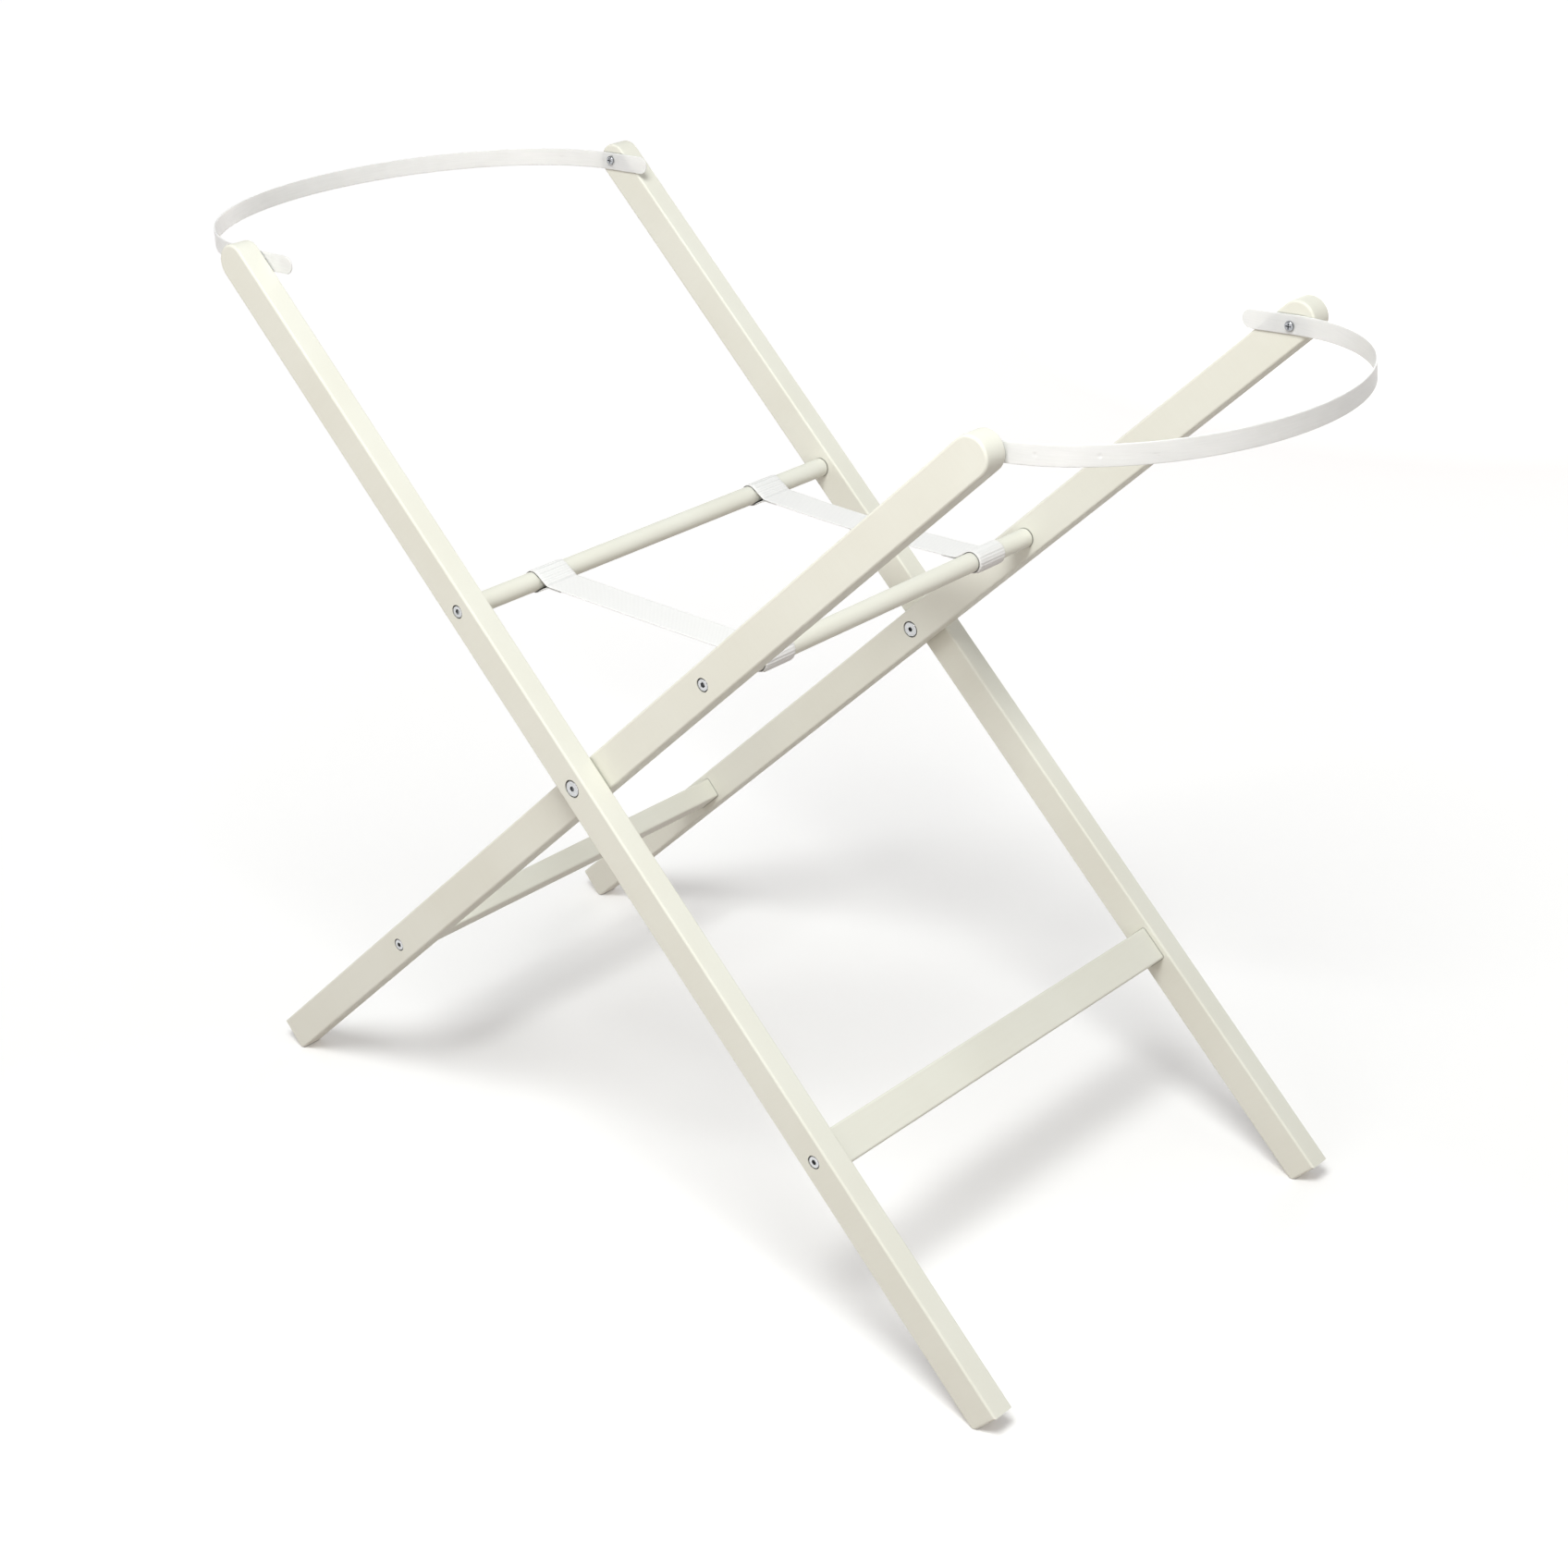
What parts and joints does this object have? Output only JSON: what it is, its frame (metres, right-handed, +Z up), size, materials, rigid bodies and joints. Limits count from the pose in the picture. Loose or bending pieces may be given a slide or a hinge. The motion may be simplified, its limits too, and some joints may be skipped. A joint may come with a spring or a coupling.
{
  "type": "folding baby cradle stand",
  "caption": "Folding crossed-leg wooden cradle stand: dowels joined by webbing straps that limit its opening, lower rails, and bent plastic end bows that hold a fabric cradle open.",
  "frame": {"origin": "on the floor, in the middle of the whole open stand", "axes": "+Z up; +X along the cradle, from the outer frame's top end towards the inner frame's top end; +Y to the left side, along the fold pivot and both dowels"},
  "size_m": [1.0275, 0.444, 0.7593],
  "materials": {
    "painted_wood": "satin cream paint",
    "steel": "zinc plated",
    "insert_steel": "yellow zinc plated",
    "bare_beech": "bare",
    "nylon": "moulded",
    "bow_plastic": "milky translucent",
    "webbing": "woven"
  },
  "bodies": {
    "outer_frame": {"outer_leg_left": "painted_wood", "outer_leg_right": "painted_wood", "outer_dowel": "painted_wood", "outer_rail": "painted_wood", "outer_dowel_bolts": "steel", "outer_rail_bolts": "steel", "outer_dowel_inserts": "insert_steel", "outer_rail_inserts": "insert_steel", "outer_bow_screws": "steel", "outer_rail_pins": "bare_beech", "pivot_bolts": "steel", "pivot_sleeve_nuts": "steel", "pivot_spacers": "nylon", "strap_left": "webbing", "strap_right": "webbing"},
    "inner_frame": {"inner_leg_left": "painted_wood", "inner_leg_right": "painted_wood", "inner_dowel": "painted_wood", "inner_rail": "painted_wood", "inner_dowel_bolts": "steel", "inner_rail_bolts": "steel", "inner_dowel_inserts": "insert_steel", "inner_rail_inserts": "insert_steel", "inner_bow_screws": "steel", "inner_rail_pins": "bare_beech"},
    "outer_bow": {"outer_bow": "bow_plastic"},
    "inner_bow": {"inner_bow": "bow_plastic"}
  },
  "joints": [
    {"name": "fold", "type": "hinge", "parent": "outer_frame", "child": "inner_frame", "pos_m": [0.01209, 0, 0.397], "axis": [0, -1, 0], "range_deg": [0, 84.4], "deforming": ["strap_left", "strap_right"]},
    {"name": "outer_bow_swing", "type": "hinge", "parent": "outer_frame", "child": "outer_bow", "pos_m": [-0.34865, 0, 0.74537], "axis": [0, 1, 0], "range_deg": [-133, 46]},
    {"name": "inner_bow_swing", "type": "hinge", "parent": "inner_frame", "child": "inner_bow", "pos_m": [0.36965, 0, 0.73277], "axis": [0, -1, 0], "range_deg": [-139, 39]}
  ]
}
